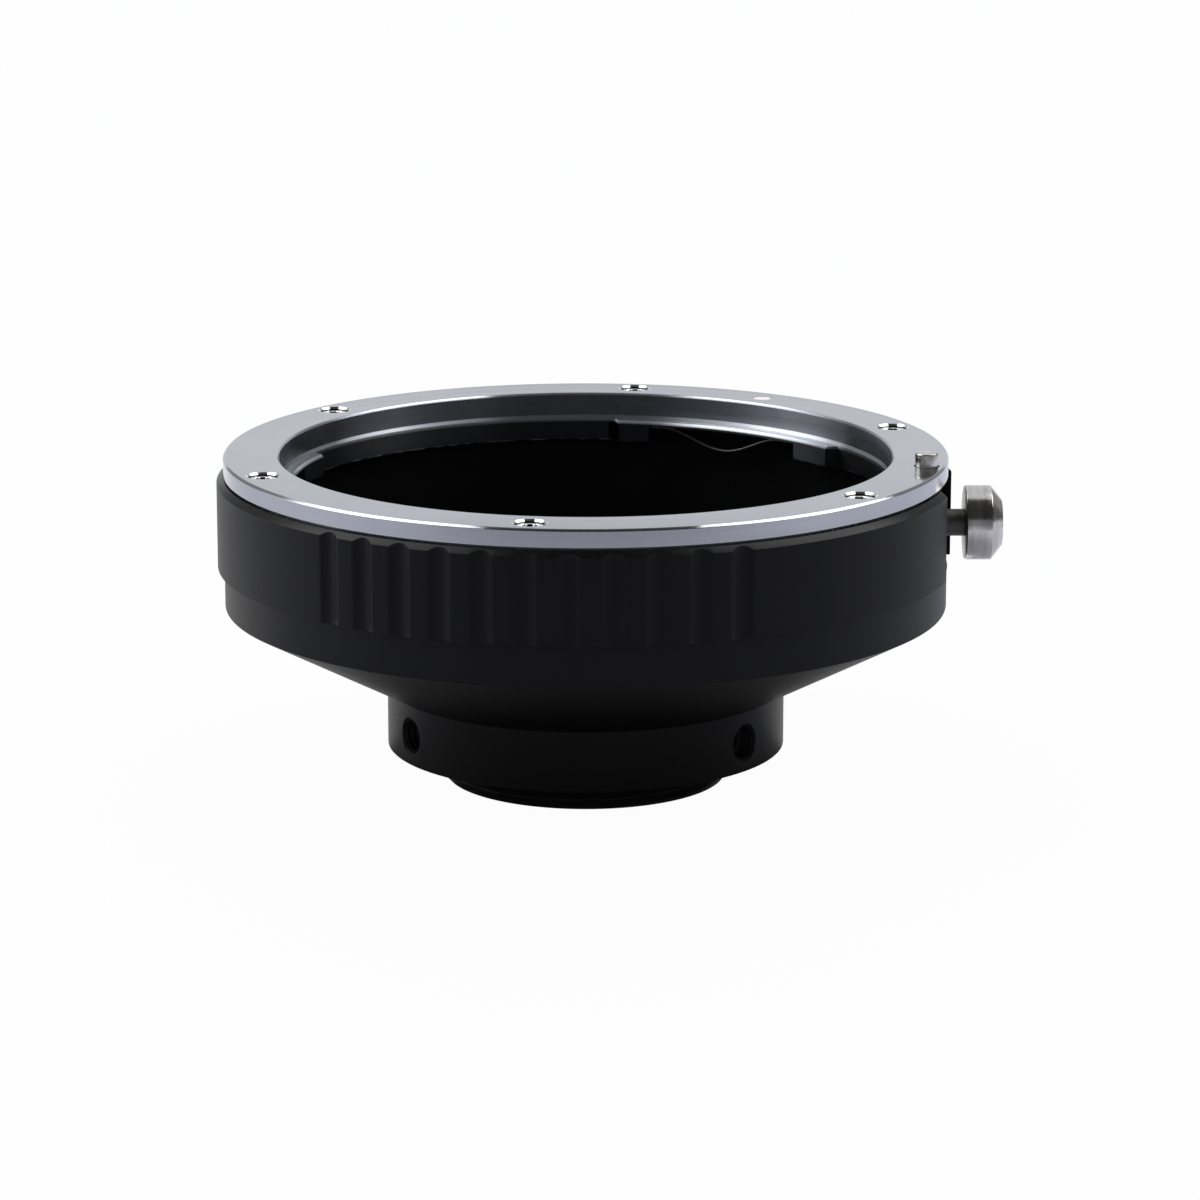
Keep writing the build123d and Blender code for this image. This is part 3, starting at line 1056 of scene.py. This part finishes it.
# Cards that stand on the floor: the two ends (x1, y1) and (x2, y2), the top edge and the glow
standing_cards = {
    "flag_right": (0.7, -0.1, 0.7, 0.40, 0.36, 0.10),
    "card_left": (-0.7, -0.1, -0.7, 0.40, 0.26, 1.3),
    "flag_back_left": (-0.69, 0.40, -0.36, 0.72, 0.55, 0.35),
    "flag_back_right": (0.69, 0.40, 0.36, 0.72, 0.55, 0.35),
}


def white_to_eye(look, surface, share):
    """Mixes a surface with plain white for what the camera sees, and for what reflections see only further
    off, so that reflections show a painted shadow round the nose.
    """
    rays = look.node("ShaderNodeLightPath").outputs
    seen = look.math("MAXIMUM", rays["Is Camera Ray"], rays["Is Transmission Ray"])
    # Painted shadow in reflections: they see the white glow only some way off the nose
    glow_past_painted_shadow = look.spread(look.round_place()[0], 0.06, 0.35, 0, 0.5)
    seen = look.math("MAXIMUM", seen, look.math("MULTIPLY", rays["Is Glossy Ray"], glow_past_painted_shadow))
    glow = look.node("ShaderNodeEmission", {"Color": white, "Strength": 1.0}).outputs[0]
    shown = look.math("MULTIPLY", seen, share)
    return look.node("ShaderNodeMixShader", {0: shown, 1: surface, 2: glow}).outputs[0]


def add_stage(name, vertices, faces, material, shown):
    """Adds a part of the studio, which the camera may or may not see."""
    mesh = bpy.data.meshes.new(name)
    mesh.from_pydata(vertices, [], faces)
    mesh.materials.append(material)
    obj = bpy.data.objects.new(name, mesh)
    obj.visible_camera = shown
    bpy.context.scene.collection.objects.link(obj)
    return obj


def make_floor():
    """Wide white floor under the nose that keeps a soft shadow, with painted shadow as well: its colour is
    darker close round the nose.
    """
    look = Finish("floor_white")
    # Painted shadow: a darker floor colour in an oval round the nose
    oval = {"Vector": look.place(), "Location": (0, 0.022, 0), "Scale": (1.6, 1, 1)}
    apart = look.length(look.node("ShaderNodeMapping", oval).outputs[0])
    away = look.spread(apart, 0.035, 0.075, 0, 1)
    look.set(Base_Color=look.mix(away, (0.28, 0.28, 0.28, 1), (0.48, 0.485, 0.54, 1)))
    look.set(Roughness=0.9, Specular_IOR_Level=0.0)
    output = look.tree.nodes["Material Output"].inputs["Surface"]
    look.feed(output, white_to_eye(look, look.shader.outputs[0], 0.97))
    turns = [radians(angle) for angle in even_angles(96)]
    rim = [(floor_radius * cos(a), floor_radius * sin(a), ground_z) for a in turns]
    add_stage("floor", rim, [range(len(rim))], look.material, True)


def plain_glow(name, colour, strength):
    """Card that glows evenly though it is no lamp, as painted light for the surfaces to reflect."""
    look = Finish(name)
    look.set(Base_Color=(0, 0, 0, 1), Roughness=1.0, Specular_IOR_Level=0.0)
    look.set(Emission_Color=colour, Emission_Strength=strength)
    return look.material


def add_card(name, corners, material):
    """Adds a flat card that the camera does not see."""
    return add_stage(name, corners, [(0, 1, 2, 3)], material, False)


def add_half_dome(name, lowest, highest, material):
    """Adds the front half of a wide dome between two elevations."""
    rows, columns = 12, 48
    points = []
    for row in range(rows + 1):
        rise = radians(lowest + (highest - lowest) * row / rows)
        row_radius = dome_radius * cos(rise)
        for column in range(columns + 1):
            a = radians(180 + 180 * column / columns)
            points.append((row_radius * cos(a), row_radius * sin(a) + dome_centre_y, dome_radius * sin(rise)))
    width = columns + 1
    faces = []
    for row in range(rows):
        for column in range(columns):
            first = row * width + column
            faces.append((first, first + 1, first + 1 + width, first + width))
    return add_stage(name, points, faces, material, False)


def make_cards():
    """Cards, wall and canopy that the camera does not see, which glow as painted reflections for the
    surfaces; only the front card also gives diffuse light.
    """
    front = [(x, y, card_z) for x, y in front_card]
    add_card("front_card", front, plain_glow("grey_card_glow", (0.89, 0.90, 1, 1), 0.47))
    back = [(x, y, card_z) for x, y in back_card]
    only_reflected = [
        add_card("back_card", back, plain_glow("white_card_glow", white, 0.95)),
        add_half_dome("front_wall", -2, 20, plain_glow("grey_wall_glow", (0.95, 0.97, 1, 1), 0.25)),
        add_half_dome("dark_canopy", 20, 90, plain_glow("dark_canopy_glow", white, 0.035)),
    ]
    for name, (x1, y1, x2, y2, top, level) in standing_cards.items():
        corners = [(x1, y1, card_z), (x2, y2, card_z), (x2, y2, top), (x1, y1, top)]
        only_reflected.append(add_card(name, corners, plain_glow(f"reflection_glow_{name}", white, level)))
    for card in only_reflected:
        card.visible_diffuse = False
        card.visible_shadow = False


def make_world():
    """White studio round the object."""
    world = bpy.data.worlds.new("studio")
    bpy.context.scene.world = world
    world.use_nodes = True
    background = world.node_tree.nodes["Background"]
    background.inputs["Color"].default_value = (0.95, 0.97, 1, 1)
    background.inputs["Strength"].default_value = 0.85


def add_lamp(name, place, size, power):
    """Soft rectangular lamp aimed at the object."""
    lamp = bpy.data.lights.new(name, "AREA")
    lamp.shape = "RECTANGLE"
    lamp.size, lamp.size_y = size
    lamp.energy = power
    obj = bpy.data.objects.new(name, lamp)
    obj.location = place
    obj.rotation_euler = (Vector(lamp_target) - Vector(place)).to_track_quat("-Z", "Y").to_euler()
    bpy.context.scene.collection.objects.link(obj)


def make_camera():
    """Camera at the photograph's place, turned, tilted and rolled, with its focal length in pixels."""
    image_width = 1200
    focal_pixels = 4659.5
    distance = 0.404985
    height = flange_z * MM + 0.083231
    turn, tilt, roll = radians(0.180), radians(13.449), radians(0.039)
    forward = Vector((sin(turn) * cos(tilt), cos(turn) * cos(tilt), -sin(tilt)))
    right = forward.cross(Vector((0, 0, 1))).normalized()
    up = right.cross(forward)
    rolled_right = right * cos(roll) + up * sin(roll)
    rolled_up = up * cos(roll) - right * sin(roll)
    camera = bpy.data.cameras.new("camera")
    camera.sensor_width = 36
    camera.sensor_fit = "HORIZONTAL"
    camera.lens = camera.sensor_width * focal_pixels / image_width
    camera.clip_start = 0.01
    obj = bpy.data.objects.new("camera", camera)
    axes = Matrix((rolled_right, rolled_up, -forward)).transposed()
    obj.matrix_world = Matrix.Translation((0, -distance, height)) @ axes.to_4x4()
    bpy.context.scene.collection.objects.link(obj)
    bpy.context.scene.camera = obj


make_floor()
make_world()
make_cards()
add_lamp("left", (-0.54, 0.04, 0.58), (0.55, 0.70), 4.2)
add_lamp("right", (0.483, 0.12, 0.61), (0.50, 0.60), 3.2)
make_camera()
bpy.context.scene.view_settings.view_transform = "Standard"
